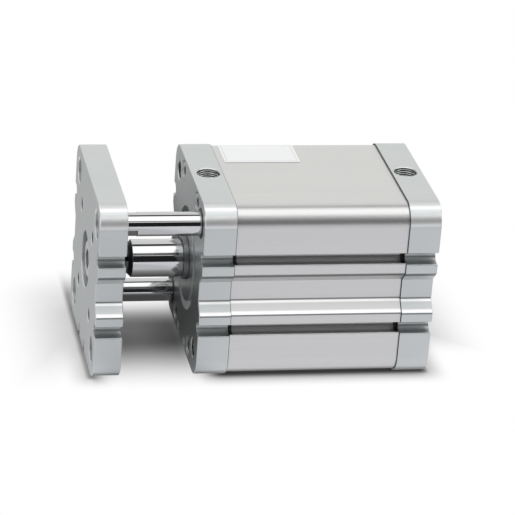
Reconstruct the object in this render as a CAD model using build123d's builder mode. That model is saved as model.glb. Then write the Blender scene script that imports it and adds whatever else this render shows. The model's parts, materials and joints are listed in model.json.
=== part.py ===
from build123d import *
from math import hypot
import os

os.makedirs("parts", exist_ok=True)

# The cylinder's axis is X and its piston rod leaves towards -X. Pieces are drawn with x = 0 in
# the front cover's face. They are written with the origin in the rear cover's mounting face,
# on the rod's axis. All sizes are in millimetres.

# Working sizes
bore_diameter = 63.0
stroke = 50.0
rod_diameter = 16.0
guide_diameter = 10.0
closed_gap = 8.0  # flange to front cover with the rod fully in
rest_extension = 23.4  # how far the rod stands out as stored
piston_length = 15.0
end_gap = 0.3  # free travel left at each end of the stroke

# Fits
running_clearance = 0.05  # radial, shafts in bushes and seals on the bore
free_clearance = 0.3  # radial, piston halves in the bore
channel_clearance = 0.5  # radial, guide rods in the barrel's corners
screw_clearance = 0.3  # radial, screws through plain holes
thread_clearance = 0.02  # radial, screws in tapped holes
point_tolerance = 0.001  # for telling where a point lies
cut_margin = 1.0  # how far a cutting shape stands out past a face
wiper_lip_chamfer = 0.6  # share of the lip's wall
head_chamfer = 0.04  # share of a screw head's diameter
tip_chamfer = 0.08  # share of a shaft's diameter
socket_depth = 0.6  # share of a screw head's height

# Outer section, shared by the covers and the flange
side_wall = 7.25
cover_side = bore_diameter + 2 * side_wall
corner_radius = 9.0
edge_round = 0.4
end_chamfer = 0.25
recess_mouth = 18.0
recess_depth = 4.6
notch_width = 5.1
notch_depth = 5.0
slot_rise = 15.8  # side slots above and below the axis
bottom_slot_offset = 8.0  # bottom slots either side of the axis

# Barrel section
barrel_inset = 0.75
barrel_side = cover_side - 2 * barrel_inset
barrel_corner_radius = corner_radius - barrel_inset
slot_mouth = 4.6
slot_bulb_diameter = 5.6
slot_bulb_depth = 2.9  # centre of the bulb below the barrel's face

# Lengths along the axis
cover_thickness = 13.5
spigot_length = 3.2
flange_thickness = 11.5
body_length = stroke + piston_length + 2 * (cover_thickness + spigot_length + end_gap)
front_seam = cover_thickness
rear_seam = body_length - cover_thickness
front_chamber_end = front_seam + spigot_length
rear_chamber_end = rear_seam - spigot_length
flange_back = -(closed_gap + rest_extension)
flange_front = flange_back - flange_thickness
piston_back = rear_chamber_end - end_gap - rest_extension
piston_front = piston_back - piston_length
piston_middle = piston_front + piston_length / 2

# Corner pattern: mounting threads on one diagonal, guide rods on the other
mount_inset = 10.5
mount_spacing = cover_side - 2 * mount_inset
corner = mount_spacing / 2
mount_thread_diameter = 8.0
mount_thread_depth = 11.5
thread_chamfer = 0.4

# Ports and air passages
port_diameter = 9.73
port_depth = 9.0
port_from_face = 7.2
port_chamfer = 0.35
throat_diameter = 5.0
passage_diameter = 4.0
passage_inset = 5.0  # centre of the passage inside the bore's wall

# Cover screws
cover_screw_diameter = 5.0
cover_screw_head = 8.5
cover_screw_head_height = 5.0
cover_screw_socket = 4.0
cover_screw_sink = 5.4
cover_screw_grip = 10.0  # thread length in the barrel
cover_screw_spread = 17.0
cover_screw_inset = 5.95
cover_screw_rise = cover_side / 2 - cover_screw_inset
cover_screw_bore = 9.0
tap_end = 2.0  # tapped length left beyond a screw's tip

# Seals of the covers
oring_groove_width = 1.9
oring_groove_depth = 1.6
oring_slack = 0.04
bumper_inner_radius = 15.0
bumper_outer_radius = 21.0
bumper_thickness = 2.0
bumper_stand = 0.1

# Rod bearing in the front cover
rod_radius = rod_diameter / 2
shaft_bore = rod_radius + running_clearance
wiper_lip_wall = 0.4
wiper_lip_stand = 2.3
wiper_wall = 2.35
wiper_seat_depth = 3.0
rod_bush_wall = 2.0
rod_seal_wall = 2.95
rod_seal_length = 3.6
cap_nose_wall = 0.65
cap_nose_stand = 2.1
cap_nose_round = 0.2
cap_front_wall = 1.0
cap_body_wall = 2.0
cap_length = 14.0
cap_flange_rim = 5.6
cap_flange_thickness = 2.5
cap_pocket_gap = 3.4
cap_pocket_depth = 2.5
wiper_lip_radius = shaft_bore + wiper_lip_wall
wiper_seat_radius = shaft_bore + wiper_wall
rod_seal_radius = shaft_bore + rod_seal_wall
cap_nose_radius = wiper_lip_radius + cap_nose_wall
cap_body_radius = rod_seal_radius + cap_body_wall
cap_radius = cap_body_radius + cap_flange_rim
cap_pocket_radius = cap_radius + cap_pocket_gap
rod_bush_length = cap_length - wiper_seat_depth - rod_seal_length
rod_hole_clearance = 1.0

# Guide bushes in the front cover
guide_radius = guide_diameter / 2
guide_bore = guide_radius + running_clearance
guide_bush_wall = 1.0
guide_wiper_wall = 1.45
guide_wiper_depth = 2.6
guide_wiper_lip_wall = 0.55
guide_wiper_radius = guide_bore + guide_wiper_wall
guide_wiper_lip_radius = guide_bore + guide_wiper_lip_wall
guide_wiper_stand = 0.4
guide_end_gap = 3.5  # guide rod to rear cover with the rod fully in

# Flange
flange_recess_diameter = 24.0
flange_recess_depth = 7.0
flange_screw_diameter = 10.0
flange_screw_head = 16.0
flange_screw_head_height = 6.0
flange_screw_socket = 8.0
flange_screw_grip = 15.0
flange_pattern = 35.0
flange_thread_diameter = 6.0
access_hole_diameter = 10.9
guide_screw_diameter = 6.0
guide_screw_head = 10.0
guide_screw_head_height = 4.0
guide_screw_socket = 4.0
guide_screw_bore = 12.0
guide_screw_sink = 5.5
guide_screw_grip = 12.0
guide_seat_depth = 4.0

# Piston rod
neck_diameter = 12.5
neck_length = 6.0
rod_spigot_diameter = 12.0
rod_shoulder_depth = 1.5
rod_spigot_gap = 0.5

# Guide rod spanner flats
flat_depth = 1.0
flat_start = 0.3
flat_length = 4.6
flat_turn = 45.0  # degrees round the rod

# Piston
piston_edge_land = 1.4
piston_seal_width = 2.8
piston_seal_depth = 3.4
piston_seal_slack = 0.2
seal_heel = 0.8  # share of the seal's height
seal_lip_root = 0.75
seal_valley = 0.5
seal_foot = 0.25
seal_lip_width = 0.6
seal_valley_depth = 1.2
wear_ring_width = 4.0
wear_ring_depth = 2.2
magnet_inset = 3.0  # piston wall between the magnet and the wear ring
magnet_wall = 7.0  # radial
magnet_width = 4.0
rod_oring_width = 1.6
rod_oring_depth = 1.2
piston_screw_diameter = 8.0
piston_screw_head = 13.0
piston_screw_head_height = 4.5
piston_screw_socket = 6.0
piston_screw_grip = 12.0
piston_screw_bore = 14.0
washer_thickness = 1.0

# Blank label on the barrel's top
label_length = 32.5
label_width = 19.5
label_thickness = 0.2
label_from_seam = 2.9
label_offset = 22.3
label_corner_radius = 0.8

# Points in the YZ plane
mount_points = [(corner, corner), (-corner, -corner)]
guide_points = {"upper": (-corner, corner), "lower": (corner, -corner)}
all_corners = mount_points + list(guide_points.values())
cover_screw_points = [(y * cover_screw_spread, z * cover_screw_rise) for y in (-1, 1) for z in (-1, 1)]
flange_points = [(y * flange_pattern / 2, z * flange_pattern / 2) for y in (-1, 1) for z in (-1, 1)]
bore_radius = bore_diameter / 2


def keep(name, builder):
    """Moves a finished piece to its place from the rear face and writes it to its own file."""
    piece = builder.part.moved(Location((-body_length, 0, 0)))
    piece.label = name
    export_step(piece, f"parts/{name}.step")


def draw_outline(side, radius):
    """Rounded square with a wide recess with 45 degree flanks in each side face."""
    RectangleRounded(side, side, radius)
    for face in (-1, 1):
        floor = face * (side / 2 - recess_depth)
        mouth = face * (side / 2 + cut_margin)
        half_floor = recess_mouth / 2 - recess_depth
        half_mouth = recess_mouth / 2 + cut_margin
        corners = [(floor, -half_floor), (mouth, -half_mouth), (mouth, half_mouth), (floor, half_floor)]
        Polygon(*corners, align=None, mode=Mode.SUBTRACT)


def break_edges(section, side, radius):
    """Rounds the sharp edges that lie in the side faces and in the bottom face of a YZ section."""
    flat = side / 2 - radius - point_tolerance
    picked = []
    for vertex in section.vertices():
        on_side = abs(abs(vertex.X) - side / 2) < point_tolerance and abs(vertex.Y) < flat
        on_bottom = abs(vertex.Y + side / 2) < point_tolerance and abs(vertex.X) < flat
        if on_side or on_bottom:
            picked.append(vertex)
    fillet(picked, edge_round)


def draw_cover_section():
    """Section of the covers and the flange: the outline with round-bottomed notches."""
    draw_outline(cover_side, corner_radius)
    reach = cover_side / 2 - notch_depth + notch_width / 2
    with GridLocations(2 * reach, 2 * slot_rise, 2, 2):
        Circle(notch_width / 2, mode=Mode.SUBTRACT)
    with GridLocations(2 * reach + notch_depth, 2 * slot_rise, 2, 2):
        Rectangle(notch_depth, notch_width, mode=Mode.SUBTRACT)
    for y in (-bottom_slot_offset, bottom_slot_offset):
        with Locations((y, -reach)):
            Circle(notch_width / 2, mode=Mode.SUBTRACT)
        with Locations((y, -reach - notch_depth / 2)):
            Rectangle(notch_width, notch_depth, mode=Mode.SUBTRACT)


def draw_barrel_section():
    """Section of the barrel: the outline with sensor slots that widen behind their mouths."""
    draw_outline(barrel_side, barrel_corner_radius)
    reach = barrel_side / 2 - slot_bulb_depth
    with GridLocations(2 * reach, 2 * slot_rise, 2, 2):
        Circle(slot_bulb_diameter / 2, mode=Mode.SUBTRACT)
    with GridLocations(2 * reach + 2 * slot_bulb_depth, 2 * slot_rise, 2, 2):
        Rectangle(2 * slot_bulb_depth, slot_mouth, mode=Mode.SUBTRACT)
    for y in (-bottom_slot_offset, bottom_slot_offset):
        with Locations((y, -reach)):
            Circle(slot_bulb_diameter / 2, mode=Mode.SUBTRACT)
        with Locations((y, -reach - slot_bulb_depth)):
            Rectangle(slot_mouth, 2 * slot_bulb_depth, mode=Mode.SUBTRACT)


def ring(start, end, inner_radius, outer_radius, centre=(0, 0)):
    """Plain ring along X from start to end."""
    with BuildPart() as piece:
        with BuildSketch(Plane.YZ.offset(start)):
            with Locations(centre):
                Circle(outer_radius)
                Circle(inner_radius, mode=Mode.SUBTRACT)
        extrude(amount=end - start)
    return piece


def stepped_wiper(face, seat_end, bore, seat_radius, lip_radius, lip_stand, centre):
    """Wiper ring seated in a face, with a narrower lip standing out of it towards -X."""
    with BuildPart() as piece:
        with BuildSketch(Plane.YZ.offset(face)):
            with Locations(centre):
                Circle(seat_radius)
                Circle(bore, mode=Mode.SUBTRACT)
        extrude(amount=seat_end - face)
        with BuildSketch(Plane.YZ.offset(face)):
            with Locations(centre):
                Circle(lip_radius)
                Circle(bore, mode=Mode.SUBTRACT)
        extrude(amount=-lip_stand)
        lip_edges = piece.edges().group_by(Axis.X)[0]
        chamfer(lip_edges.sort_by(SortBy.RADIUS)[-1], (lip_radius - bore) * wiper_lip_chamfer)
    return piece


def cap_screws(seat, outward, points, shank, grip, head, head_height, socket):
    """Socket head screws on a seat plane, heads to the outward side, +1 or -1 along X."""
    with BuildPart() as screws:
        with BuildSketch(Plane.YZ.offset(seat)):
            with Locations(*points):
                Circle(head / 2)
        extrude(amount=outward * head_height)
        top_edges = screws.edges().group_by(Axis.X)[-1 if outward > 0 else 0]
        chamfer(top_edges, head * head_chamfer)
        with BuildSketch(Plane.YZ.offset(seat + outward * head_height)):
            with Locations(*points):
                RegularPolygon(socket / 2, 6, major_radius=False)
        extrude(amount=-outward * head_height * socket_depth, mode=Mode.SUBTRACT)
        with BuildSketch(Plane.YZ.offset(seat)):
            with Locations(*points):
                Circle(shank / 2 - thread_clearance)
        extrude(amount=-outward * grip)
        tip_edges = screws.edges().group_by(Axis.X)[0 if outward > 0 else -1]
        chamfer(tip_edges, shank * tip_chamfer)
    return screws


def draw_circles(points, diameter):
    """Same circle at each point."""
    with Locations(*points):
        Circle(diameter / 2)


# Barrel: extruded tube with the bore, sensor slots, guide channels and tapped screw holes
with BuildPart() as barrel:
    with BuildSketch(Plane.YZ.offset(front_seam)) as barrel_section:
        draw_barrel_section()
        Circle(bore_radius, mode=Mode.SUBTRACT)
        with Locations(*guide_points.values()):
            Circle(guide_radius + channel_clearance, mode=Mode.SUBTRACT)
        break_edges(barrel_section, barrel_side, barrel_corner_radius)
    extrude(amount=rear_seam - front_seam)
    for seam, inward in ((front_seam, 1), (rear_seam, -1)):
        with BuildSketch(Plane.YZ.offset(seam)):
            draw_circles(cover_screw_points, cover_screw_diameter)
        extrude(amount=inward * (cover_screw_grip + tap_end), mode=Mode.SUBTRACT)
keep("barrel", barrel)

# Covers: the front one is open for the rod, the cap and the guide bushes
cap_bore = rod_radius + rod_hole_clearance
for name, outer_face, inward in (("front_cover", 0.0, 1), ("rear_cover", body_length, -1)):
    seam = outer_face + inward * cover_thickness
    chamber_end = seam + inward * spigot_length
    port_axis_x = outer_face + inward * port_from_face
    with BuildPart() as cover:
        with BuildSketch(Plane.YZ.offset(outer_face)) as cover_section:
            draw_cover_section()
            break_edges(cover_section, cover_side, corner_radius)
        extrude(amount=inward * cover_thickness)
        end_wires = [face.outer_wire() for face in cover.faces().filter_by(Axis.X)]
        chamfer([edge for wire in end_wires for edge in wire.edges()], end_chamfer)

        # Spigot in the bore, with its seal groove
        with BuildSketch(Plane.YZ.offset(seam)):
            Circle(bore_radius - running_clearance)
        extrude(amount=inward * spigot_length)
        groove_start = seam + inward * (spigot_length - oring_groove_width) / 2
        with BuildSketch(Plane.YZ.offset(groove_start)):
            Circle(bore_radius)
            Circle(bore_radius - running_clearance - oring_groove_depth, mode=Mode.SUBTRACT)
        extrude(amount=inward * oring_groove_width, mode=Mode.SUBTRACT)

        # Bumper pocket in the chamber's end face
        with BuildSketch(Plane.YZ.offset(chamber_end)):
            Circle(bumper_outer_radius)
            Circle(bumper_inner_radius, mode=Mode.SUBTRACT)
        extrude(amount=-inward * (bumper_thickness - bumper_stand), mode=Mode.SUBTRACT)

        # Screw holes with counterbored heads
        with BuildSketch(Plane.YZ.offset(outer_face)):
            draw_circles(cover_screw_points, cover_screw_diameter + 2 * screw_clearance)
        extrude(amount=inward * cover_thickness, mode=Mode.SUBTRACT)
        with BuildSketch(Plane.YZ.offset(outer_face)):
            draw_circles(cover_screw_points, cover_screw_bore)
        extrude(amount=inward * cover_screw_sink, mode=Mode.SUBTRACT)

        # Mounting threads
        thread_points = mount_points if name == "front_cover" else all_corners
        with BuildSketch(Plane.YZ.offset(outer_face)):
            draw_circles(thread_points, mount_thread_diameter)
        extrude(amount=inward * mount_thread_depth, mode=Mode.SUBTRACT)

        # Port, its throat, and the passage to the chamber
        with BuildSketch(Plane.XY.offset(cover_side / 2)):
            with Locations((port_axis_x, 0)):
                Circle(port_diameter / 2)
        extrude(amount=-port_depth, mode=Mode.SUBTRACT)
        passage_height = bore_radius - passage_inset
        with BuildSketch(Plane.XY.offset(cover_side / 2 - port_depth)):
            with Locations((port_axis_x, 0)):
                Circle(throat_diameter / 2)
        extrude(amount=passage_height - (cover_side / 2 - port_depth), mode=Mode.SUBTRACT)
        with BuildSketch(Plane.YZ.offset(chamber_end)):
            with Locations((0, passage_height)):
                Circle(passage_diameter / 2)
        extrude(amount=port_axis_x - chamber_end, mode=Mode.SUBTRACT)

        # Rod and guide openings of the front cover
        if name == "front_cover":
            with BuildSketch(Plane.YZ):
                Circle(cap_pocket_radius)
            extrude(amount=cap_pocket_depth, mode=Mode.SUBTRACT)
            with BuildSketch(Plane.YZ):
                Circle(cap_body_radius)
            extrude(amount=cap_length, mode=Mode.SUBTRACT)
            with BuildSketch(Plane.YZ):
                Circle(cap_bore)
            extrude(amount=chamber_end, mode=Mode.SUBTRACT)
            with BuildSketch(Plane.YZ):
                draw_circles(guide_points.values(), 2 * (guide_bore + guide_bush_wall))
            extrude(amount=cover_thickness, mode=Mode.SUBTRACT)
            with BuildSketch(Plane.YZ):
                draw_circles(guide_points.values(), 2 * guide_wiper_radius)
            extrude(amount=guide_wiper_depth, mode=Mode.SUBTRACT)

        # Lead-in chamfers of the threads
        thread_mouths = cover.edges().filter_by(GeomType.CIRCLE)
        thread_mouths = thread_mouths.filter_by(lambda e: abs(e.radius - mount_thread_diameter / 2) < point_tolerance)
        thread_mouths = thread_mouths.filter_by(lambda e: abs(e.arc_center.X - outer_face) < point_tolerance)
        chamfer(thread_mouths, thread_chamfer)
        port_mouth = cover.edges().filter_by(GeomType.CIRCLE).sort_by(Axis.Z)[-1]
        chamfer(port_mouth, port_chamfer)
    keep(name, cover)

# Screws that hold each cover to the barrel
for name, outer_face, outward in (("front_cover_screws", 0.0, -1), ("rear_cover_screws", body_length, 1)):
    seat = outer_face - outward * cover_screw_sink
    grip = cover_thickness - cover_screw_sink + cover_screw_grip
    screws = cap_screws(
        seat, outward, cover_screw_points, cover_screw_diameter, grip,
        cover_screw_head, cover_screw_head_height, cover_screw_socket,
    )
    keep(name, screws)

# Seals between the covers and the bore
groove_floor = bore_radius - running_clearance - oring_groove_depth
oring_section = (bore_radius - groove_floor - oring_slack) / 2
oring_path_radius = (bore_radius + groove_floor) / 2
for name, seal_x in (
    ("front_cover_oring", front_seam + spigot_length / 2),
    ("rear_cover_oring", rear_seam - spigot_length / 2),
):
    with BuildPart() as cover_oring:
        with BuildSketch(Plane.XZ):
            with Locations((seal_x, oring_path_radius)):
                Circle(oring_section)
        revolve(axis=Axis.X)
    keep(name, cover_oring)

# Bumpers that the piston meets at each end of its stroke
for name, chamber_end, inward in (
    ("front_bumper", front_chamber_end, 1),
    ("rear_bumper", rear_chamber_end, -1),
):
    bumper_tip = chamber_end + inward * bumper_stand
    bumper_foot = bumper_tip - inward * bumper_thickness
    keep(name, ring(bumper_foot, bumper_tip, bumper_inner_radius, bumper_outer_radius))

# Bearing cap pressed into the front cover, with seats for wiper, bush and rod seal
bush_radius = shaft_bore + rod_bush_wall
with BuildPart() as bearing_cap:
    with BuildSketch(Plane.YZ):
        Circle(cap_radius)
    extrude(amount=cap_flange_thickness)
    chamfer(bearing_cap.edges().group_by(Axis.X)[0], end_chamfer)
    with BuildSketch(Plane.YZ):
        Circle(cap_body_radius)
    extrude(amount=cap_length)
    with BuildSketch(Plane.YZ):
        Circle(cap_nose_radius)
    extrude(amount=-cap_nose_stand)
    fillet(bearing_cap.edges().group_by(Axis.X)[0], cap_nose_round)
    with BuildSketch(Plane.YZ.offset(-cap_nose_stand)):
        Circle(wiper_lip_radius)
    extrude(amount=cap_nose_stand + cap_front_wall, mode=Mode.SUBTRACT)
    with BuildSketch(Plane.YZ.offset(cap_front_wall)):
        Circle(wiper_seat_radius)
    extrude(amount=wiper_seat_depth - cap_front_wall, mode=Mode.SUBTRACT)
    with BuildSketch(Plane.YZ.offset(wiper_seat_depth)):
        Circle(bush_radius)
    extrude(amount=cap_length - wiper_seat_depth, mode=Mode.SUBTRACT)
    with BuildSketch(Plane.YZ.offset(cap_length)):
        Circle(rod_seal_radius)
    extrude(amount=-rod_seal_length, mode=Mode.SUBTRACT)
keep("bearing_cap", bearing_cap)

bush_end = wiper_seat_depth + rod_bush_length
keep("rod_bush", ring(wiper_seat_depth, bush_end, shaft_bore, bush_radius))
keep("rod_seal", ring(bush_end, cap_length, shaft_bore, rod_seal_radius))
rod_wiper = stepped_wiper(
    cap_front_wall, wiper_seat_depth, shaft_bore, wiper_seat_radius,
    wiper_lip_radius, cap_front_wall + wiper_lip_stand, (0, 0),
)
keep("rod_wiper", rod_wiper)

# Bush and wiper of each guide rod
for place, centre in guide_points.items():
    guide_bush = ring(guide_wiper_depth, cover_thickness, guide_bore, guide_bore + guide_bush_wall, centre)
    keep(f"guide_bush_{place}", guide_bush)
    guide_wiper = stepped_wiper(
        0.0, guide_wiper_depth, guide_bore, guide_wiper_radius,
        guide_wiper_lip_radius, guide_wiper_stand, centre,
    )
    keep(f"guide_wiper_{place}", guide_wiper)

# Blank label on top of the barrel, wrapped a little way over its far edge
label_start = front_seam + label_from_seam
with BuildPart() as blank_label:
    with BuildSketch(Plane.YZ.offset(label_start)):
        film_side = barrel_side + 2 * label_thickness
        RectangleRounded(film_side, film_side, barrel_corner_radius + label_thickness)
        RectangleRounded(barrel_side, barrel_side, barrel_corner_radius, mode=Mode.SUBTRACT)
    extrude(amount=label_length)
    with BuildSketch(Plane.XY):
        with Locations((label_start + label_length / 2, label_offset)):
            RectangleRounded(label_length, label_width, label_corner_radius)
    extrude(amount=barrel_side, mode=Mode.INTERSECT)
keep("blank_label", blank_label)

# Front flange on the rod's end
with BuildPart() as front_flange:
    with BuildSketch(Plane.YZ.offset(flange_front)) as flange_section:
        draw_cover_section()
        break_edges(flange_section, cover_side, corner_radius)
    extrude(amount=flange_thickness)
    flange_wires = [face.outer_wire() for face in front_flange.faces().filter_by(Axis.X)]
    chamfer([edge for wire in flange_wires for edge in wire.edges()], end_chamfer)

    # Centre screw in its round recess
    with BuildSketch(Plane.YZ.offset(flange_front)):
        Circle(flange_recess_diameter / 2)
    extrude(amount=flange_recess_depth, mode=Mode.SUBTRACT)
    with BuildSketch(Plane.YZ.offset(flange_front)):
        Circle(flange_screw_diameter / 2 + screw_clearance)
    extrude(amount=flange_thickness, mode=Mode.SUBTRACT)

    # Threads for the load, and holes that reach the cover's mounting screws
    with BuildSketch(Plane.YZ.offset(flange_front)):
        draw_circles(flange_points, flange_thread_diameter)
        draw_circles(mount_points, access_hole_diameter)
    extrude(amount=flange_thickness, mode=Mode.SUBTRACT)

    # Guide rods are seated from behind and held by screws from the front
    with BuildSketch(Plane.YZ.offset(flange_front)):
        draw_circles(guide_points.values(), guide_screw_diameter + 2 * screw_clearance)
    extrude(amount=flange_thickness, mode=Mode.SUBTRACT)
    with BuildSketch(Plane.YZ.offset(flange_front)):
        draw_circles(guide_points.values(), guide_screw_bore)
    extrude(amount=guide_screw_sink, mode=Mode.SUBTRACT)
    with BuildSketch(Plane.YZ.offset(flange_back)):
        draw_circles(guide_points.values(), guide_diameter)
    extrude(amount=-guide_seat_depth, mode=Mode.SUBTRACT)

    # Lead-in chamfers on the front face
    flange_mouths = front_flange.edges().filter_by(GeomType.CIRCLE)
    flange_mouths = flange_mouths.filter_by(lambda e: abs(e.arc_center.X - flange_front) < point_tolerance)
    flange_mouths = flange_mouths.filter_by(lambda e: e.is_closed)
    chamfer(flange_mouths, thread_chamfer)
keep("front_flange", front_flange)

# Piston rod: neck at the flange, shoulder and spigot at the piston
rod_shoulder = piston_front + rod_shoulder_depth
rod_end = piston_middle - rod_spigot_gap
neck_step = rod_radius - neck_diameter / 2
with BuildPart() as piston_rod:
    with BuildSketch(Plane.YZ.offset(flange_back)):
        Circle(rod_radius)
    extrude(amount=rod_shoulder - flange_back)
    with BuildSketch(Plane.XZ):
        with BuildLine():
            Polyline(
                (flange_back, neck_diameter / 2),
                (flange_back + neck_length, neck_diameter / 2),
                (flange_back + neck_length + neck_step, rod_radius),
                (flange_back + neck_length + neck_step, rod_radius + neck_step),
                (flange_back, rod_radius + neck_step),
                close=True,
            )
        make_face()
    revolve(axis=Axis.X, mode=Mode.SUBTRACT)
    with BuildSketch(Plane.YZ.offset(rod_shoulder)):
        Circle(rod_spigot_diameter / 2)
    extrude(amount=rod_end - rod_shoulder)
    with BuildSketch(Plane.YZ.offset(flange_back)):
        Circle(flange_screw_diameter / 2)
    extrude(amount=flange_screw_grip + tap_end, mode=Mode.SUBTRACT)
    with BuildSketch(Plane.YZ.offset(rod_end)):
        Circle(piston_screw_diameter / 2)
    extrude(amount=-(piston_screw_grip + tap_end), mode=Mode.SUBTRACT)
keep("piston_rod", piston_rod)

# Guide rods, fixed in the flange and sliding in the front cover
guide_front = flange_back - guide_seat_depth
guide_back = rear_seam - guide_end_gap - rest_extension
flat_cut = guide_diameter + cut_margin
for place, (guide_y, guide_z) in guide_points.items():
    with BuildPart() as guide_rod:
        with BuildSketch(Plane.YZ.offset(guide_front)):
            with Locations((guide_y, guide_z)):
                Circle(guide_radius)
        extrude(amount=guide_back - guide_front)
        chamfer(guide_rod.edges().group_by(Axis.X)[-1], guide_diameter * tip_chamfer)
        with BuildSketch(Plane.YZ.offset(guide_front)):
            with Locations((guide_y, guide_z)):
                Circle(guide_screw_diameter / 2)
        extrude(amount=guide_screw_grip + tap_end, mode=Mode.SUBTRACT)
        with BuildSketch(Plane.YZ.offset(flange_back + flat_start)):
            with Locations((guide_y, guide_z)):
                Rectangle(flat_cut, flat_cut, rotation=flat_turn)
                Rectangle(guide_diameter - 2 * flat_depth, flat_cut + cut_margin, rotation=flat_turn, mode=Mode.SUBTRACT)
        extrude(amount=flat_length, mode=Mode.SUBTRACT)
    keep(f"guide_rod_{place}", guide_rod)

# Screws of the flange: one into the piston rod, one into each guide rod
flange_centre_screw = cap_screws(
    flange_front + flange_recess_depth, -1, [(0, 0)], flange_screw_diameter,
    flange_thickness - flange_recess_depth + flange_screw_grip,
    flange_screw_head, flange_screw_head_height, flange_screw_socket,
)
keep("flange_centre_screw", flange_centre_screw)
guide_rod_screws = cap_screws(
    flange_front + guide_screw_sink, -1, list(guide_points.values()), guide_screw_diameter,
    flange_thickness - guide_seat_depth - guide_screw_sink + guide_screw_grip,
    guide_screw_head, guide_screw_head_height, guide_screw_socket,
)
keep("guide_rod_screws", guide_rod_screws)

# Piston halves, clamped together on the rod's shoulder around the magnet and the wear ring
half_radius = bore_radius - free_clearance
seal_floor = half_radius - piston_seal_depth
wear_floor = half_radius - wear_ring_depth
magnet_outer_radius = wear_floor - magnet_inset
magnet_inner_radius = magnet_outer_radius - magnet_wall
screw_seat = piston_back - piston_screw_head_height - washer_thickness - end_gap
for name, end, inward in (("piston_front_half", piston_front, 1), ("piston_rear_half", piston_back, -1)):
    with BuildPart() as piston_half:
        with BuildSketch(Plane.YZ.offset(end)):
            Circle(half_radius)
        extrude(amount=inward * piston_length / 2)
        chamfer(piston_half.edges().sort_by(Axis.X)[0 if inward > 0 else -1], end_chamfer)
        with BuildSketch(Plane.YZ.offset(end + inward * piston_edge_land)):
            Circle(bore_radius)
            Circle(seal_floor, mode=Mode.SUBTRACT)
        extrude(amount=inward * piston_seal_width, mode=Mode.SUBTRACT)
        with BuildSketch(Plane.YZ.offset(piston_middle)):
            Circle(bore_radius)
            Circle(wear_floor, mode=Mode.SUBTRACT)
        extrude(amount=-inward * wear_ring_width / 2, mode=Mode.SUBTRACT)
        with BuildSketch(Plane.YZ.offset(piston_middle)):
            Circle(magnet_outer_radius)
            Circle(magnet_inner_radius, mode=Mode.SUBTRACT)
        extrude(amount=-inward * magnet_width / 2, mode=Mode.SUBTRACT)
        if name == "piston_front_half":
            with BuildSketch(Plane.YZ.offset(piston_front)):
                Circle(rod_radius)
            extrude(amount=rod_shoulder_depth, mode=Mode.SUBTRACT)
            with BuildSketch(Plane.YZ.offset(piston_front)):
                Circle(rod_spigot_diameter / 2)
            extrude(amount=piston_length / 2, mode=Mode.SUBTRACT)
            with BuildSketch(Plane.YZ.offset(rod_shoulder)):
                Circle(rod_spigot_diameter / 2 + rod_oring_depth)
            extrude(amount=rod_oring_width, mode=Mode.SUBTRACT)
        else:
            with BuildSketch(Plane.YZ.offset(piston_back)):
                Circle(piston_screw_diameter / 2 + screw_clearance)
            extrude(amount=-piston_length / 2, mode=Mode.SUBTRACT)
            with BuildSketch(Plane.YZ.offset(piston_back)):
                Circle(piston_screw_bore / 2)
            extrude(amount=screw_seat - piston_back, mode=Mode.SUBTRACT)
    keep(name, piston_half)

# Rings carried by the piston
magnet_start = piston_middle - magnet_width / 2
keep("piston_magnet", ring(magnet_start, magnet_start + magnet_width, magnet_inner_radius, magnet_outer_radius))
wear_start = piston_middle - wear_ring_width / 2
sliding_radius = bore_radius - running_clearance
keep("piston_wear_ring", ring(wear_start, wear_start + wear_ring_width, wear_floor, sliding_radius))
for name, end, inward in (("piston_seal_front", piston_front, 1), ("piston_seal_rear", piston_back, -1)):
    lip_side = end + inward * (piston_edge_land + piston_seal_slack / 2)
    heel_side = lip_side + inward * (piston_seal_width - piston_seal_slack)
    lip_height = sliding_radius - seal_floor
    with BuildPart() as piston_seal:
        with BuildSketch(Plane.XZ):
            with BuildLine():
                Polyline(
                    (lip_side, seal_floor),
                    (heel_side, seal_floor),
                    (heel_side, seal_floor + lip_height * seal_heel),
                    (lip_side + inward * seal_lip_width, sliding_radius),
                    (lip_side, sliding_radius),
                    (lip_side, seal_floor + lip_height * seal_lip_root),
                    (lip_side + inward * seal_valley_depth, seal_floor + lip_height * seal_valley),
                    (lip_side, seal_floor + lip_height * seal_foot),
                    close=True,
                )
            make_face()
        revolve(axis=Axis.X)
    keep(name, piston_seal)

# Seal between rod and piston
rod_oring_path = rod_spigot_diameter / 2 + rod_oring_depth / 2
with BuildPart() as piston_rod_oring:
    with BuildSketch(Plane.XZ):
        with Locations((rod_shoulder + rod_oring_width / 2, rod_oring_path)):
            Circle((rod_oring_depth - oring_slack) / 2)
    revolve(axis=Axis.X)
keep("piston_rod_oring", piston_rod_oring)

# Screw and washer that clamp the piston on the rod
washer_radius = piston_screw_head / 2
screw_bore = piston_screw_diameter / 2 + screw_clearance
keep("piston_washer", ring(screw_seat, screw_seat + washer_thickness, screw_bore, washer_radius))
piston_screw = cap_screws(
    screw_seat + washer_thickness, 1, [(0, 0)], piston_screw_diameter,
    screw_seat + washer_thickness - rod_end + piston_screw_grip,
    piston_screw_head, piston_screw_head_height, piston_screw_socket,
)
keep("piston_screw", piston_screw)

corner_reach = hypot(corner, corner)
print(f"body length {body_length:.2f}, overall {body_length - flange_front:.2f}, flange front {flange_front:.2f}")
print(f"mount spacing {mount_spacing:.2f}, corner circle {2 * corner_reach:.3f}, cover side {cover_side:.2f}")
print(f"piston {piston_front:.2f} to {piston_back:.2f}, guide rods end at {guide_back:.2f}")
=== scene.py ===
import json
import math

import bpy
import numpy as np
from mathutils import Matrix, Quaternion, Vector


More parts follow.
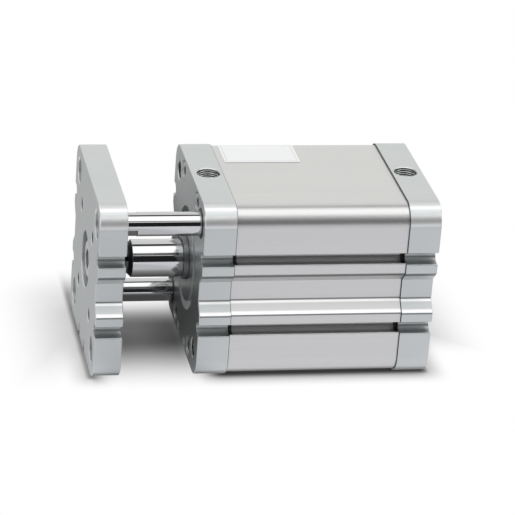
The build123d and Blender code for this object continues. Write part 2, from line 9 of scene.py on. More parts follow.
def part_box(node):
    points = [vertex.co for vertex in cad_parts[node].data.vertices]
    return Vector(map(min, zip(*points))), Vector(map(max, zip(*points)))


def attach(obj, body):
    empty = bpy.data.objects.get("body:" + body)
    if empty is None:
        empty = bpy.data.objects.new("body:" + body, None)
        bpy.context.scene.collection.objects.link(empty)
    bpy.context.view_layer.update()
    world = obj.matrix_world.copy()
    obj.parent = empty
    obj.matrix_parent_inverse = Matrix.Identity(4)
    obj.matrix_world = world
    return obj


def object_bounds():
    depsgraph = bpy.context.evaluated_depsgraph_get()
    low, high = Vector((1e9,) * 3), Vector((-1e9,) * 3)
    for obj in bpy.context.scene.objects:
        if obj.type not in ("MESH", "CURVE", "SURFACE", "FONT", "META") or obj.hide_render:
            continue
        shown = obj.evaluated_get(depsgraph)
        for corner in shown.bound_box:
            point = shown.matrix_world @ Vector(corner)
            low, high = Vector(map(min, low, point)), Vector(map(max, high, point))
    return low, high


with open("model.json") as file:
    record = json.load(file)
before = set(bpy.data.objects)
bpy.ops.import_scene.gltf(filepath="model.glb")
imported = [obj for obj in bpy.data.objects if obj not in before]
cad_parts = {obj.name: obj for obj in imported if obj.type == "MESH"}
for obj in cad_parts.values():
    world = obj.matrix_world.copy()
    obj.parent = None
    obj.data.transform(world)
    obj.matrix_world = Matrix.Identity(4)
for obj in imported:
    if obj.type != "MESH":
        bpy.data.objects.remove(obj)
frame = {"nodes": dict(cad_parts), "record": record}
cadLow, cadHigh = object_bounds()
nodes = frame["nodes"]
scene = bpy.context.scene
mm = 0.001


# Shader maths: a Signal is one output socket, and its operators add Math nodes
class Signal:
    def __init__(self, tree, socket):
        self.tree = tree
        self.socket = socket

    def math(self, operation, *others):
        values = dict(enumerate((self, *others)))
        return self.tree.add("ShaderNodeMath", {"operation": operation}, values)

    def __add__(self, other):
        return self.math("ADD", other)

    def __radd__(self, other):
        return self.math("ADD", other)

    def __sub__(self, other):
        return self.math("SUBTRACT", other)

    def __rsub__(self, other):
        return self.tree.add("ShaderNodeMath", {"operation": "SUBTRACT"}, {0: other, 1: self})

    def __mul__(self, other):
        return self.math("MULTIPLY", other)

    def __rmul__(self, other):
        return self.math("MULTIPLY", other)

    def __neg__(self):
        return self.math("MULTIPLY", -1.0)

    def __abs__(self):
        return self.math("ABSOLUTE")

    def larger(self, other):
        return self.math("MAXIMUM", other)

    def smaller(self, other):
        return self.math("MINIMUM", other)

    def step(self, low, high):
        # smooth rise from 0 at low to 1 at high
        limits = {"Value": self, "From Min": low, "From Max": high, "To Min": 0.0, "To Max": 1.0}
        return self.tree.add("ShaderNodeMapRange", {"interpolation_type": "SMOOTHSTEP"}, limits)

    def band(self, low, high, soft):
        # 1 between low and high, with soft edges
        return self.step(low - soft, low + soft) * (1 - self.step(high - soft, high + soft))

    def near(self, centre, reach):
        # 1 up to half the reach from the centre, 0 from reach on
        return 1 - abs(self - centre).step(reach * 0.5, reach)

    def ripple(self, pitch):
        # sine wave between 0 and 1
        return (self * (2 * math.pi / pitch)).math("SINE") * 0.5 + 0.5


class Tree:
    def __init__(self, owner):
        owner.use_nodes = True
        self.nodes = owner.node_tree.nodes
        self.links = owner.node_tree.links
        self.nodes.clear()

    def add(self, kind, settings=None, sockets=None, out=0):
        node = self.nodes.new(kind)
        for name, value in (settings or {}).items():
            setattr(node, name, value)
        for key, value in (sockets or {}).items():
            if isinstance(value, Signal):
                self.links.new(value.socket, node.inputs[key])
            else:
                node.inputs[key].default_value = value
        return Signal(self, node.outputs[out]) if node.outputs else node

    def place(self):
        # position on the object, in metres, as a vector
        return self.add("ShaderNodeTexCoord", out=3)

    def axes(self, vector):
        # the three parts of a vector
        split = self.add("ShaderNodeSeparateXYZ", {}, {0: vector}).socket.node
        return [Signal(self, output) for output in split.outputs]

    def alongX(self, low, high):
        # 1 where the surface looks along X, 0 where it looks sideways
        normal = self.add("ShaderNodeNewGeometry", out=1)
        return abs(self.axes(normal)[0]).step(low, high)

    def rays(self):
        # 1 for what the camera sees straight, and 1 for what it sees in metal or glass
        path = self.add("ShaderNodeLightPath").socket.node
        names = ("Is Camera Ray", "Is Glossy Ray", "Is Transmission Ray")
        straight, glossy, clear = [Signal(self, path.outputs[name]) for name in names]
        return straight, (glossy + clear).smaller(1.0)

    def noise(self, vector, scale, detail=2.0, stretch=(1, 1, 1)):
        # 0 to 1 cloud, finer with a higher scale, drawn out where stretch is small
        if tuple(stretch) != (1, 1, 1):
            vector = self.add("ShaderNodeMapping", {}, {"Vector": vector, "Scale": stretch})
        return self.add("ShaderNodeTexNoise", {}, {"Vector": vector, "Scale": scale, "Detail": detail})

    def mix(self, share, first, second):
        # colour between first and second
        return self.add("ShaderNodeMix", {"data_type": "RGBA"}, {0: share, 6: first, 7: second}, out=2)

    def bump(self, height, strength, depth):
        sockets = {"Height": height, "Strength": strength, "Distance": depth}
        return self.add("ShaderNodeBump", {}, sockets)


def distance(first, second):
    # how far two parts lie from zero together: the root of the sum of their squares
    return (first * first + second * second).math("SQRT")


def colour(red, green, blue):
    return (red, green, blue, 1.0)


def finish(name, surface):
    # makes a material whose Principled sockets come from the surface function
    material = bpy.data.materials.new(name)
    tree = Tree(material)
    shader = tree.add("ShaderNodeBsdfPrincipled", {}, surface(tree))
    tree.add("ShaderNodeOutputMaterial", {}, {"Surface": shader})
    return material


# Sides of barrel, covers and flange: two sensor slots, and a recess between them, with painted highlights
# and painted shade
sideLook = {
    "slotRise": 15.8 * mm,
    "slotDepth": (0.5 * mm, 6.2 * mm, 0.3 * mm),
    "slotShade": 0.34,
    "slotTop": (-2.2 * mm, -0.1 * mm),
    "slotTopLess": 0.65,
    "slotEnds": (-84.9 * mm, -14.1 * mm),
    "slotEndReach": 1.3 * mm,
    "slotEndShade": 0.9,
    "recessDepth": (5.4 * mm, 5.5 * mm),
    "slotEdge": 0.1 * mm,
    "sideways": (0.4, 0.6),
    "paintedHighlightLines": ((-8.3 * mm, 0.75 * mm), (-4.9 * mm, 0.5 * mm)),
    "upperFlank": (4.5 * mm, 7.5 * mm, 0.2 * mm),
    "upperFlankLight": 0.6,
    "paintedShadeLines": ((-9.3 * mm, 0.4 * mm), (-4.1 * mm, 0.5 * mm), (8.3 * mm, 1.2 * mm)),
    "darkLineShade": 0.6,
    "lowerFlank": (-8.0 * mm, -5.3 * mm, 0.4 * mm),
    "lowerFlankShade": 0.16,
    "underEdge": (-36.7 * mm, -34.0 * mm),
    "underDepth": (5.5 * mm, 9.0 * mm),
    "bright": colour(0.80, 0.80, 0.80),
    "black": colour(0.0, 0.0, 0.0),
}


def sideTones(tree, metal, piece):
    # the metal with painted highlights and painted shade: bright and dark lines along the recess, dark slots
    # and dark lower corners
    look = sideLook
    x, y, z = tree.axes(tree.place())
    inward = piece["halfSide"] - abs(y)
    sideways = 1 - tree.alongX(*look["sideways"])
    outer = (1 - inward.step(*look["recessDepth"])) * sideways
    bright = z.band(*look["upperFlank"]) * look["upperFlankLight"]
    for level, reach in look["paintedHighlightLines"]:
        bright = z.near(level, reach).larger(bright)
    dark = z.band(*look["lowerFlank"]) * look["lowerFlankShade"]
    for level, reach in look["paintedShadeLines"]:
        dark = (z.near(level, reach) * look["darkLineShade"]).larger(dark)
    # painted highlights and painted shade along the recess edges and flanks
    metal = tree.mix(outer * bright, metal, look["bright"])
    metal = tree.mix(outer * dark, metal, look["black"])
    # painted shade darkens the underside of the lower rounded corners
    paintedUnderShade = (1 - z.step(*look["underEdge"])) * (1 - inward.step(*look["underDepth"])) * sideways
    metal = tree.mix(paintedUnderShade * piece["edgeShade"], metal, look["black"])
    # painted shade in the slots: less dark in a slot's upper part, and nearly black at the barrel's ends
    rise = z - z.math("SIGN") * look["slotRise"]
    mouth = 1 - abs(rise).step(piece["slotReach"], piece["slotReach"] + look["slotEdge"])
    shade = look["slotShade"] * (1 - rise.step(*look["slotTop"]) * look["slotTopLess"])
    for end in look["slotEnds"]:
        shade = (x.near(end, look["slotEndReach"]) * look["slotEndShade"]).larger(shade)
    return tree.mix(inward.band(*look["slotDepth"]) * mouth * shade, metal, look["black"])


# Milled aluminium of the covers and the flange
coverLook = {
    "dark": colour(0.53, 0.555, 0.56),
    "light": colour(0.60, 0.62, 0.62),
    "metallic": 0.82,
    "roughness": 0.34,
    "cloudScale": 55,
    "cloudRough": 0.06,
    "grainScale": 2600,
    "grainRough": 0.05,
    "faceOn": (0.9, 0.99),
    "millPitch": 0.9 * mm,
    "millCentre": (60 * mm, 25 * mm),
    "millHeight": 0.35,
    "millRough": 0.03,
    "relief": 0.25,
    "reliefDepth": 0.010 * mm,
    "halfSide": 38.75 * mm,
    "slotReach": 2.6 * mm,
    "edgeShade": 0.72,
    "corners": ((32.9 * mm, 3.0 * mm, 0.85), (37.65 * mm, 1.0 * mm, 0.6)),
    "paintedCornerHighlight": colour(1.0, 1.0, 1.0),
    "frontFace": -99.0 * mm,
    "frontShade": (0.66, 0.56),
    "frontFade": (-8 * mm, 24 * mm),
    "flangeFace": -141.9 * mm,
    "flangeShade": 0.14,
    "faceReach": 0.4 * mm,
    "noseRadius": (9.207 * mm, 9.3 * mm),
    "noseFront": (-105.0 * mm, -104.0 * mm),
    "noseRear": (-99.3 * mm, -99.0 * mm),
    "noseShade": 0.62,
    "collarRadius": (9.05 * mm, 9.95 * mm, 0.05 * mm),
    "collarReach": 0.2 * mm,
    "seams": (-85.5 * mm, -13.5 * mm),
    "seamEdge": (0.224 * mm, 0.28 * mm),
    # dark colour for the joints, and for the painted shade and painted dark reflection on the faces and the
    # nose
    "gap": colour(0.05, 0.052, 0.055),
}


def coverSurface(tree):
    look = coverLook
    point = tree.place()
    x, y, z = tree.axes(point)
    cloud = tree.noise(point, look["cloudScale"], 3)
    grain = tree.noise(point, look["grainScale"], 3)
    # a face mill leaves arcs on the faces that look along the axis
    facing = tree.alongX(*look["faceOn"])
    centreY, centreZ = look["millCentre"]
    arcs = distance(y - centreY, z - centreZ).ripple(look["millPitch"]) * facing
    metal = tree.mix(cloud, look["dark"], look["light"])
    metal = sideTones(tree, metal, look)
    # painted highlight: the rounded upper corners are lighter
    for level, reach, share in look["corners"]:
        metal = tree.mix(z.near(level, reach) * (1 - facing) * share, metal, look["paintedCornerHighlight"])
    # painted shade: the front cover's face, behind the flange, is darker, mostly below, and the flange's own
    # a little
    mostShade, fade = look["frontShade"]
    front = x.near(look["frontFace"], look["faceReach"]) * (mostShade - z.step(*look["frontFade"]) * fade)
    flange = x.near(look["flangeFace"], look["faceReach"]) * look["flangeShade"]
    # the nose of the bearing cap stands out of the front cover's face, and a painted dark reflection darkens
    # it
    fromAxis = distance(y, z)
    nose = 1 - fromAxis.step(*look["noseRadius"])
    nose = nose * x.step(*look["noseFront"]) * (1 - x.step(*look["noseRear"]))
    dark = ((front + flange) * facing).larger(nose * look["noseShade"])
    metal = tree.mix(dark, metal, look["gap"])
    # painted shade makes a dark ring round the base of the bearing cap's nose, and the joints with the
    # barrel are dark lines
    collarPaintedShade = fromAxis.band(*look["collarRadius"]) * x.near(look["frontFace"], look["collarReach"])
    frontSeam, rearSeam = [abs(x - seam) for seam in look["seams"]]
    joints = 1 - frontSeam.smaller(rearSeam).step(*look["seamEdge"])
    rough = cloud * look["cloudRough"] + grain * look["grainRough"] + arcs * look["millRough"]
    return {
        "Base Color": tree.mix(joints.larger(collarPaintedShade), metal, look["gap"]),
        "Metallic": look["metallic"],
        "Roughness": look["roughness"] + rough,
        "Normal": tree.bump(grain + arcs * look["millHeight"], look["relief"], look["reliefDepth"]),
    }


# Anodised barrel, whose drawn lines run along the extrusion, so its noise is stretched along X
barrelLook = {
    "dark": colour(0.57, 0.57, 0.57),
    "light": colour(0.65, 0.645, 0.64),
    "metallic": 0.80,
    "roughness": 0.29,
    "streakStretch": (6, 900, 900),
    "streakShare": 0.6,
    "broadStretch": (10, 160, 160),
    "broadShare": 0.4,
    "broadRough": 0.07,
    "grainScale": 2400,
    "grainRough": 0.04,
    "grainHeight": 0.5,
    "relief": 0.25,
    "reliefDepth": 0.012 * mm,
    "halfSide": 38.0 * mm,
    "slotReach": 2.9 * mm,
    "edgeShade": 0.86,
}


def barrelSurface(tree):
    look = barrelLook
    point = tree.place()
    streak = tree.noise(point, 1.0, 3, look["streakStretch"])
    broad = tree.noise(point, 1.0, 2, look["broadStretch"])
    grain = tree.noise(point, look["grainScale"], 2)
    tone = streak * look["streakShare"] + broad * look["broadShare"]
    metal = tree.mix(tone, look["dark"], look["light"])
    return {
        "Base Color": sideTones(tree, metal, look),
        "Metallic": look["metallic"],
        "Roughness": look["roughness"] + broad * look["broadRough"] + grain * look["grainRough"],
        "Normal": tree.bump(streak + grain * look["grainHeight"], look["relief"], look["reliefDepth"]),
    }


# Ground and plated rods. The piston rod's neck and cone at the flange carry a painted dark reflection of the
# flange's back
rodLook = {
    "dark": colour(0.52, 0.525, 0.53),
    "light": colour(0.57, 0.57, 0.575),
    "roughness": 0.045,
    "ringStretch": (2600, 14, 14),
    "ringRough": 0.03,
    "cloudScale": 90,
    "cloudRough": 0.02,
    "relief": 0.2,
    "reliefDepth": 0.0015 * mm,
    "neckEnd": (-122.85 * mm, -122.75 * mm),
    "neckRadius": (8.91 * mm, 9.0 * mm),
    "neck": colour(0.06, 0.062, 0.066),
}


def rodSurface(tree):
    # grinding leaves very fine rings round the rod
    look = rodLook
    point = tree.place()
    rings = tree.noise(point, 1.0, 3, look["ringStretch"])
    cloud = tree.noise(point, look["cloudScale"], 2)
    x, y, z = tree.axes(point)
    neck = (1 - distance(y, z).step(*look["neckRadius"])) * (1 - x.step(*look["neckEnd"]))
    plating = tree.mix(cloud, look["dark"], look["light"])
    return {
        "Base Color": tree.mix(neck, plating, look["neck"]),
        "Metallic": 1.0,
        "Roughness": look["roughness"] + rings * look["ringRough"] + cloud * look["cloudRough"],
        "Normal": tree.bump(rings, look["relief"], look["reliefDepth"]),
    }


# Cut threads: the attribute crest is 0 in a thread's root and 1 on its crest. Roots get painted shade and
# crests a painted highlight
threadLook = {
    "root": colour(0.07, 0.075, 0.075),
    "crest": colour(0.66, 0.67, 0.67),
    "rise": (0.25, 0.95),
    "cloudScale": 700,
    "cloudShare": 0.2,
    "roughness": 0.16,
    "cloudRough": 0.1,
    "relief": 0.2,
    "reliefDepth": 0.01 * mm,
}


def threadSurface(tree):
    look = threadLook
    cloud = tree.noise(tree.place(), look["cloudScale"], 3)
    crest = tree.add("ShaderNodeAttribute", {"attribute_name": "crest"}, out=2).step(*look["rise"])
    wear = 1 - look["cloudShare"] + cloud * look["cloudShare"]
    return {
        "Base Color": tree.mix(crest * wear, look["root"], look["crest"]),
        "Metallic": 1.0,
        "Roughness": look["roughness"] + cloud * look["cloudRough"],
        "Normal": tree.bump(cloud, look["relief"], look["reliefDepth"]),
    }


# Zinc plated screws and washer
screwLook = {
    "dark": colour(0.50, 0.51, 0.53),
    "light": colour(0.68, 0.68, 0.67),
    "roughness": 0.24,
    "cloudScale": 320,
    "cloudRough": 0.14,
    "grainScale": 3000,
    "relief": 0.3,
    "reliefDepth": 0.01 * mm,
}


def screwSurface(tree):
    look = screwLook
    point = tree.place()
    cloud = tree.noise(point, look["cloudScale"], 3)
    grain = tree.noise(point, look["grainScale"], 2)
    return {
        "Base Color": tree.mix(cloud, look["dark"], look["light"]),
        "Metallic": 1.0,
        "Roughness": look["roughness"] + cloud * look["cloudRough"],
        "Normal": tree.bump(grain, look["relief"], look["reliefDepth"]),
    }


# Turned piston halves: the marks are rings round the axis
pistonLook = {
    "dark": colour(0.50, 0.50, 0.50),
    "light": colour(0.62, 0.62, 0.61),
    "roughness": 0.3,
    "cloudScale": 120,
    "ringPitch": 0.35 * mm,
    "ringRough": 0.08,
    "relief": 0.4,
    "reliefDepth": 0.006 * mm,
}


def pistonSurface(tree):
    look = pistonLook
    point = tree.place()
    x, y, z = tree.axes(point)
    rings = distance(y, z).ripple(look["ringPitch"])
    cloud = tree.noise(point, look["cloudScale"], 2)
    return {
        "Base Color": tree.mix(cloud, look["dark"], look["light"]),
        "Metallic": 1.0,
        "Roughness": look["roughness"] + rings * look["ringRough"],
        "Normal": tree.bump(rings, look["relief"], look["reliefDepth"]),
    }


# Sintered bronze bushes, with pores
bronzeLook = {
    "dark": colour(0.30, 0.19, 0.09),
    "light": colour(0.55, 0.38, 0.20),
    "roughness": 0.42,
    "poreScale": 1900,
    "poreEdge": (0.35, 0.6),
    "poreRough": 0.15,
    "relief": 0.5,
    "reliefDepth": 0.03 * mm,
}


def bronzeSurface(tree):
    look = bronzeLook
    pores = tree.noise(tree.place(), look["poreScale"], 4)
    return {
        "Base Color": tree.mix(pores.step(*look["poreEdge"]), look["dark"], look["light"]),
        "Metallic": 1.0,
        "Roughness": look["roughness"] + pores * look["poreRough"],
        "Normal": tree.bump(pores, look["relief"], look["reliefDepth"]),
    }


# Rubber of the seals and wipers
rubberLook = {
    "dark": colour(0.012, 0.012, 0.013),
    "light": colour(0.032, 0.032, 0.033),
    "roughness": 0.42,
    "cloudScale": 260,
    "cloudRough": 0.16,
    "grainScale": 2200,
    "relief": 0.35,
    "reliefDepth": 0.02 * mm,
}


def rubberSurface(tree):
    look = rubberLook
    point = tree.place()
    cloud = tree.noise(point, look["cloudScale"], 3)
    grain = tree.noise(point, look["grainScale"], 3)
    return {
        "Base Color": tree.mix(cloud, look["dark"], look["light"]),
        "Roughness": look["roughness"] + cloud * look["cloudRough"],
        "Normal": tree.bump(grain, look["relief"], look["reliefDepth"]),
    }


# The bumpers are a greyer rubber
bumperLook = {
    "dark": colour(0.035, 0.036, 0.040),
    "light": colour(0.065, 0.067, 0.072),
    "cloudScale": 140,
}


def bumperSurface(tree):
    look = bumperLook
    sockets = rubberSurface(tree)
    cloud = tree.noise(tree.place(), look["cloudScale"], 2)
    sockets["Base Color"] = tree.mix(cloud, look["dark"], look["light"])
    return sockets


# Bonded magnet, with specks
magnetLook = {
    "dark": colour(0.045, 0.045, 0.05),
    "light": colour(0.12, 0.12, 0.125),
    "roughness": 0.45,
    "speckScale": 1500,
    "speckEdge": (0.45, 0.62),
    "speckRough": 0.2,
    "relief": 0.3,
    "reliefDepth": 0.02 * mm,
}


def magnetSurface(tree):
    look = magnetLook
    specks = tree.noise(tree.place(), look["speckScale"], 4)
    return {
        "Base Color": tree.mix(specks.step(*look["speckEdge"]), look["dark"], look["light"]),
        "Roughness": look["roughness"] + specks * look["speckRough"],
        "Normal": tree.bump(specks, look["relief"], look["reliefDepth"]),
    }


# Pale plastic of the wear ring
wearLook = {
    "dark": colour(0.60, 0.57, 0.48),
    "light": colour(0.74, 0.71, 0.63),
    "roughness": 0.38,
    "cloudScale": 500,
    "cloudRough": 0.15,
    "relief": 0.2,
    "reliefDepth": 0.02 * mm,
}


def wearSurface(tree):
    look = wearLook
    cloud = tree.noise(tree.place(), look["cloudScale"], 3)
    return {
        "Base Color": tree.mix(cloud, look["dark"], look["light"]),
        "Roughness": look["roughness"] + cloud * look["cloudRough"],
        "Normal": tree.bump(cloud, look["relief"], look["reliefDepth"]),
    }


# Blank label: a thin frame line runs inside the film's edge
labelLook = {
    "film": colour(0.88, 0.885, 0.89),
    "shade": colour(0.84, 0.845, 0.85),
    "line": colour(0.55, 0.56, 0.57),
    "lineBand": (1.1 * mm, 1.32 * mm, 0.03 * mm),
    "roughness": 0.34,
    "cloudScale": 180,
    "cloudRough": 0.1,
    "relief": 0.15,
    "reliefDepth": 0.01 * mm,
}


def labelSurface(tree):
    look = labelLook
    low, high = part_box("blank_label")
    point = tree.place()
    x, y, z = tree.axes(point)
    fromEnds = (high.x - low.x) / 2 - abs(x - (low.x + high.x) / 2)
    fromSides = (high.y - low.y) / 2 - abs(y - (low.y + high.y) / 2)
    line = fromEnds.smaller(fromSides).band(*look["lineBand"])
    cloud = tree.noise(point, look["cloudScale"], 2)
    film = tree.mix(cloud, look["shade"], look["film"])
    return {
        "Base Color": tree.mix(line, film, look["line"]),
        "Roughness": look["roughness"] + cloud * look["cloudRough"],
        "Normal": tree.bump(cloud, look["relief"], look["reliefDepth"]),
    }


slotFinishes = {
    "cover_aluminium": finish("coverAluminium", coverSurface),
    "flange_aluminium": finish("flangeAluminium", coverSurface),
    "anodised_aluminium": finish("anodisedBarrel", barrelSurface),
    "piston_aluminium": finish("turnedPiston", pistonSurface),
    "chromed_steel": finish("chromedRod", rodSurface),
    "zinc_steel": finish("zincScrew", screwSurface),
    "seal_rubber": finish("sealRubber", rubberSurface),
    "bumper_rubber": finish("bumperRubber", bumperSurface),
    "bush_bronze": finish("sinteredBronze", bronzeSurface),
    "magnet": finish("bondedMagnet", magnetSurface),
    "wear_plastic": finish("wearPlastic", wearSurface),
    "label_film": finish("blankFilm", labelSurface),
}
threadFinish = finish("cutThread", threadSurface)
for row in frame["record"]["subparts"]:
    mesh = nodes[row["node"]].data
    mesh.materials.clear()
    mesh.materials.append(slotFinishes[row["material_slot"]])
print("finishes on", len(nodes), "parts")


def gridMesh(points, closeRows, closeColumns):
    # Faces of a grid of points, rows by columns: each corner is joined to the next one along its
    # row and its column, and round to the first where a direction is closed.
    rows, columns = points.shape[:2]
    rowStart = np.arange(rows if closeRows else rows - 1)
    columnStart = np.arange(columns if closeColumns else columns - 1)
    i, j = np.meshgrid(rowStart, columnStart, indexing="ij")
    nextRow = (i + 1) % rows * columns
    nextColumn = (j + 1) % columns
    corners = (i * columns + j, nextRow + j, nextRow + nextColumn, i * columns + nextColumn)
    return points.reshape(-1, 3), np.stack(corners, -1).reshape(-1, 4)


# Threads in the tapped holes, placed from the record's mounts
portThread = {
    "radius": 4.865 * mm,
    "crest": 4.30 * mm,
    "pitch": 0.907 * mm,
    "depth": 8.3 * mm,
    "around": 96,
}
mountThread = {
    "radius": 4.0 * mm,
    "crest": 3.36 * mm,
    "pitch": 1.25 * mm,
    "depth": 10.8 * mm,
    "around": 72,
}
flangeThread = {
    "radius": 3.0 * mm,
    "crest": 2.50 * mm,
    "pitch": 1.0 * mm,
    "depth": 10.8 * mm,
    "around": 60,
}
threadForm = {
    "mouthInset": 0.45 * mm,
    "wallGap": 0.03 * mm,
    "perTurn": 8,
    "steepness": 1.25,
    "rootFlat": 0.05,
}


def threadSleeve(mouth, outward, across, size):
    # A thin closed sleeve in a hole. Its inner wall is a screw thread: the radius goes from root
    # to crest as a triangle wave of depth over pitch minus the turn's share, with flats cut off
    # at both, and fades at the ends. Its outer wall is a plain cylinder. Rows go round the hole,
    # columns round the sleeve's section.
    form = threadForm
    turn = np.linspace(0, 2 * math.pi, size["around"], endpoint=False)[:, None]
    steps = int(size["depth"] / size["pitch"] * form["perTurn"])
    depth = np.linspace(0, size["depth"], steps)[None, :]
    phase = (depth / size["pitch"] - turn / (2 * math.pi)) % 1.0
    wave = 1 - np.abs(2 * phase - 1)
    wave = np.clip(wave * form["steepness"] - form["rootFlat"], 0, 1)
    fadeIn = np.clip(depth / size["pitch"], 0, 1)
    fadeOut = np.clip((size["depth"] - depth) / size["pitch"], 0, 1)
    rise = wave * (fadeIn * fadeOut)
    root = size["radius"] - form["wallGap"]
    inner = root - (root - size["crest"]) * rise
    outer = np.full((len(turn), 2), size["radius"] - form["wallGap"] / 2)
    radius = np.concatenate([inner, outer], 1)
    crest = np.concatenate([rise, np.zeros_like(outer)], 1)
    depths = np.concatenate([depth, [[size["depth"], 0.0]]], 1) + np.zeros_like(radius)
    axis = Vector(outward).normalized()
    first = Vector(across).normalized()
    second = axis.cross(first)
    points = (
        np.array(mouth - outward * form["mouthInset"])
        + (radius * np.cos(turn))[..., None] * np.array(first)
        + (radius * np.sin(turn))[..., None] * np.array(second)
        - depths[..., None] * np.array(axis)
    )
    return *gridMesh(points, True, True), crest.ravel()


def cutThreads(name, holes, size, body):
    # one piece of a sleeve in each hole, with how far each point is from root to crest
    sleeves = [threadSleeve(*hole, size) for hole in holes]
    sleevePoints, sleeveQuads, sleeveCrests = zip(*sleeves)
    starts = np.cumsum([0] + [len(points) for points in sleevePoints[:-1]])
    points = np.concatenate(sleevePoints)
    quads = np.concatenate([quads + start for quads, start in zip(sleeveQuads, starts)])
    mesh = bpy.data.meshes.new(name)
    mesh.from_pydata(points.tolist(), [], quads.tolist())
    mesh.polygons.foreach_set("use_smooth", np.ones(len(quads), bool))
    crests = mesh.attributes.new("crest", "FLOAT", "POINT")
    crests.data.foreach_set("value", np.concatenate(sleeveCrests))
    mesh.materials.append(threadFinish)
    mesh.update()
    piece = bpy.data.objects.new(name, mesh)
    scene.collection.objects.link(piece)
    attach(piece, body)


def patternHoles(mount):
    # mouth, outward direction and a direction across, for each hole of a square pattern across X
    centre = Vector(mount["pos_m"])
    outward = Vector(mount["axis"])
    spreadY = mount["dims"]["spacing_x_mm"] * mm / 2
    spreadZ = mount["dims"]["spacing_y_mm"] * mm / 2
    mouths = [Vector((0, a * spreadY, b * spreadZ)) for a in (-1, 1) for b in (-1, 1)]
    return [(centre + mouth, outward, (0, 0, 1)) for mouth in mouths]


def singleHoles(names, axis, level, across):
    # the same for single holes, whose mouths lie at that level along the axis
    holes = []
    for name in names:
        mouth = Vector(mounts[name]["pos_m"])
        mouth[axis] = level
        holes.append((mouth, Vector(mounts[name]["axis"]), across))
    return holes


mounts = {mount["name"]: mount for mount in frame["record"]["mounts"]}
coverLow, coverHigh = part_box("front_cover")
frontHoles = singleHoles(("front_thread_upper", "front_thread_lower"), 0, coverLow.x, (0, 0, 1))
rearHoles = patternHoles(mounts["rear_threads"])
flangeHoles = patternHoles(mounts["flange_threads"])
portHoles = singleHoles(("port_front", "port_rear"), 2, coverHigh.z, (1, 0, 0))
cutThreads("front_mount_threads", frontHoles, mountThread, "cylinder")
cutThreads("rear_mount_threads", rearHoles, mountThread, "cylinder")
cutThreads("flange_load_threads", flangeHoles, flangeThread, "rod_assembly")
cutThreads("port_threads", portHoles, portThread, "cylinder")
print("threads cut")


# Floor: a flat grid. The camera sees it white but for the shading round the object, real shadow with painted
# shadow added. Mirrored, it is a pale field with painted shade, darker behind the object and darkest under
# the gap at the flange.
floorLook = {
    "reach": 4.0,
    "paint": colour(0.85, 0.84, 0.84),
    "black": colour(0.0, 0.0, 0.0),
    "white": colour(1.0, 1.0, 1.0),
    "fadeReach": 0.036,
    "nearFade": (-0.020, 0.011),
    "leftEnds": (-0.018, 0.007),
    "leftFade": 0.028,
    "gapEnds": (-0.137, -0.094, 0.008),
    "gapFade": 0.011,
    "gapFarSide": (0.014, 0.046),
    "gapShade": (0.55, 0.19),
    "gapRise": (-0.12, -0.10),
    "contact": (-0.046, -0.032),
    "contactEnds": (0.0, 0.012),
    "contactLine": (-0.0370, -0.0335),
    "contactLineEnds": (0.0, 0.003),
    "contactShade": 0.75,
    "frontEdge": (-0.045, -0.02),
    "frontLevel": 1.05,
    "frontTint": colour(0.965, 0.97, 1.0),
    "backLevel": 0.68,
    "gapFrontLevel": 0.78,
    "underNear": (-0.05, 0.015),
    "underFar": (0.15, 0.40),
    "underLevel": 0.10,
}


def floorShade(tree, gap, x, y):
    # how white the floor looks to the camera, and how much painted shadow darkens its paint
    look = floorLook
    middleX = (cadLow.x + cadHigh.x) / 2
    outX = (abs(x - middleX) - (cadHigh.x - middleX)).larger(0.0)
    outY = (abs(y) - cadHigh.y).larger(0.0)
    leftLow, leftHigh = look["leftEnds"]
    left = 1 - x.step(cadLow.x + leftLow, cadLow.x + leftHigh)
    # white on the near side and away from the footprint, but for the contact with the floor
    fadeStart, fadeEnd = look["nearFade"]
    spread = left.larger(gap) * look["leftFade"]
    near = 1 - y.step(fadeStart - spread, fadeEnd - gap * look["gapFade"])
    contact = y.step(*look["contact"]) * (1 - gap) * (1 - outX.step(*look["contactEnds"]))
    white = (near * (1 - contact)).larger(distance(outX, outY).step(0.0, look["fadeReach"]))
    white = white.larger(gap * y.step(*look["gapFarSide"]))
    # painted shadow: darker in the gap at the flange, and in a thin line where the object stands on the
    # floor
    leastShade, moreShade = look["gapShade"]
    paintedGapShadow = gap * (leastShade + x.step(*look["gapRise"]) * moreShade)
    line = y.step(*look["contactLine"]) * (1 - gap) * (1 - outX.step(*look["contactLineEnds"]))
    return white, paintedGapShadow.larger(line * look["contactShade"])


def floorMaterial():
    look = floorLook
    material = bpy.data.materials.new("paleFloor")
    tree = Tree(material)
    x, y, z = tree.axes(tree.place())
    straight, mirrored = tree.rays()
    gap = x.band(*look["gapEnds"])
    white, dark = floorShade(tree, gap, x, y)
    paint = tree.mix(dark, look["paint"], look["black"])
    # brightness of the mirrored floor, with painted shade behind the object and under the gap
    front = 1 - y.step(*look["frontEdge"])
    field = look["backLevel"] + front * (look["frontLevel"] - look["backLevel"])
    field = field * (1 - gap * (1 - look["gapFrontLevel"]))
    paintedUnderShade = gap * y.step(*look["underNear"]) * (1 - y.step(*look["underFar"]))
    field = field * (1 - paintedUnderShade) + paintedUnderShade * look["underLevel"]
    tint = tree.mix(front, look["white"], look["frontTint"])
    natural = tree.add("ShaderNodeBsdfDiffuse", {}, {"Color": paint})
    plain = tree.add("ShaderNodeEmission", {}, {"Color": look["white"], "Strength": 1.0})
    pale = tree.add("ShaderNodeEmission", {}, {"Color": tint, "Strength": field})
    asSeen = tree.add("ShaderNodeMixShader", {}, {0: straight * white, 1: natural, 2: plain})
    surface = tree.add("ShaderNodeMixShader", {}, {0: mirrored, 1: asSeen, 2: pale})
    tree.add("ShaderNodeOutputMaterial", {}, {"Surface": surface})
    return material


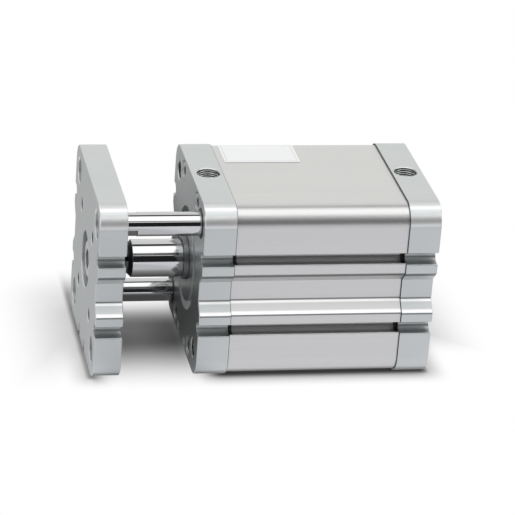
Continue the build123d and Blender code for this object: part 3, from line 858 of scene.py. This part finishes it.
def layFloor():
    # x and y are even steps from minus to plus the reach, and z is the object's lowest level
    line = np.linspace(-floorLook["reach"], floorLook["reach"], 9)
    floorX, floorY = np.meshgrid(line, line, indexing="ij")
    points, quads = gridMesh(np.stack([floorX, floorY, np.full_like(floorX, cadLow.z)], -1), False, False)
    mesh = bpy.data.meshes.new("floor")
    mesh.from_pydata(points.tolist(), [], quads.tolist())
    mesh.materials.append(floorMaterial())
    floor = bpy.data.objects.new("floor", mesh)
    scene.collection.objects.link(floor)


layFloor()
print("floor laid")


# World: white for the camera. Mirrored, it is a studio whose light strips run along X. The angle
# round X goes from the horizon on the near side (0) over the top (90) to the far side (180).
worldLook = {
    "fill": 0.66,
    "plainLevel": 1.07,
    "overhead": (50.0, 99.0, 3.0),
    "overheadLevel": 1.85,
    "wall": (-4.0, 37.0, 1.5),
    "wallLevel": 0.02,
    "bar": (45.0, 51.5, 1.5),
    "barLevel": 0.1,
    "slit": (101.0, 117.0, 1.5),
    "slitLevel": 0.06,
    "white": colour(1.0, 1.0, 1.0),
    "farTint": colour(1.0, 1.0, 0.975),
    "farAngles": (100, 150),
}


def buildWorld():
    look = worldLook
    world = bpy.data.worlds.new("studio")
    scene.world = world
    tree = Tree(world)
    x, y, z = tree.axes(tree.add("ShaderNodeTexCoord", out=0))
    angle = z.math("ARCTAN2", -y) * (180 / math.pi)
    level = look["plainLevel"] + angle.band(*look["overhead"]) * (look["overheadLevel"] - look["plainLevel"])
    for strip in ("wall", "bar", "slit"):
        level = level * (1 - angle.band(*look[strip]) * (1 - look[strip + "Level"]))
    straight, mirrored = tree.rays()
    strength = straight + (1 - straight) * (mirrored * level + (1 - mirrored) * look["fill"])
    tint = tree.mix(mirrored * angle.step(*look["farAngles"]), look["white"], look["farTint"])
    background = tree.add("ShaderNodeBackground", {}, {"Color": tint, "Strength": strength})
    tree.add("ShaderNodeOutputWorld", {}, {"Surface": background})


buildWorld()

# Softbox above, a little behind and to the left of the object
softboxLook = {
    "place": (-0.25, 0.25, 1.1),
    "aim": (-0.07, 0.0, 0.0),
    "size": 0.9,
    "power": 5.0,
}


def addSoftbox():
    look = softboxLook
    lamp = bpy.data.lights.new("softbox", "AREA")
    lamp.shape = "SQUARE"
    lamp.size = look["size"]
    lamp.energy = look["power"]
    box = bpy.data.objects.new("softbox", lamp)
    box.location = look["place"]
    aim = Vector(look["aim"]) - Vector(look["place"])
    box.rotation_mode = "QUATERNION"
    box.rotation_quaternion = aim.to_track_quat("-Z", "Y")
    box.visible_camera = False
    box.visible_glossy = False
    scene.collection.objects.link(box)


addSoftbox()
print("studio lit")

# Camera: standing point, aim and roll fitted to the photograph, whose sides are 515 pixels
cameraLook = {
    "place": (-0.29215, -1.03586, 0.47887),
    "aim": (-0.06814, 0.0, -0.00044),
    "rollDegrees": 4.40,
    "focalPixels": 2741.1,
    "imagePixels": 515,
    "sensor": 36.0,
}


def addCamera():
    look = cameraLook
    lens = bpy.data.cameras.new("camera")
    lens.sensor_width = look["sensor"]
    lens.lens = look["focalPixels"] * look["sensor"] / look["imagePixels"]
    camera = bpy.data.objects.new("camera", lens)
    camera.location = look["place"]
    gaze = Vector(look["aim"]) - Vector(look["place"])
    roll = Quaternion((0, 0, 1), math.radians(look["rollDegrees"]))
    camera.rotation_mode = "QUATERNION"
    camera.rotation_quaternion = gaze.to_track_quat("-Z", "Y") @ roll
    scene.collection.objects.link(camera)
    bpy.context.scene.camera = camera


addCamera()
scene.view_settings.view_transform = "Standard"
print("camera set")
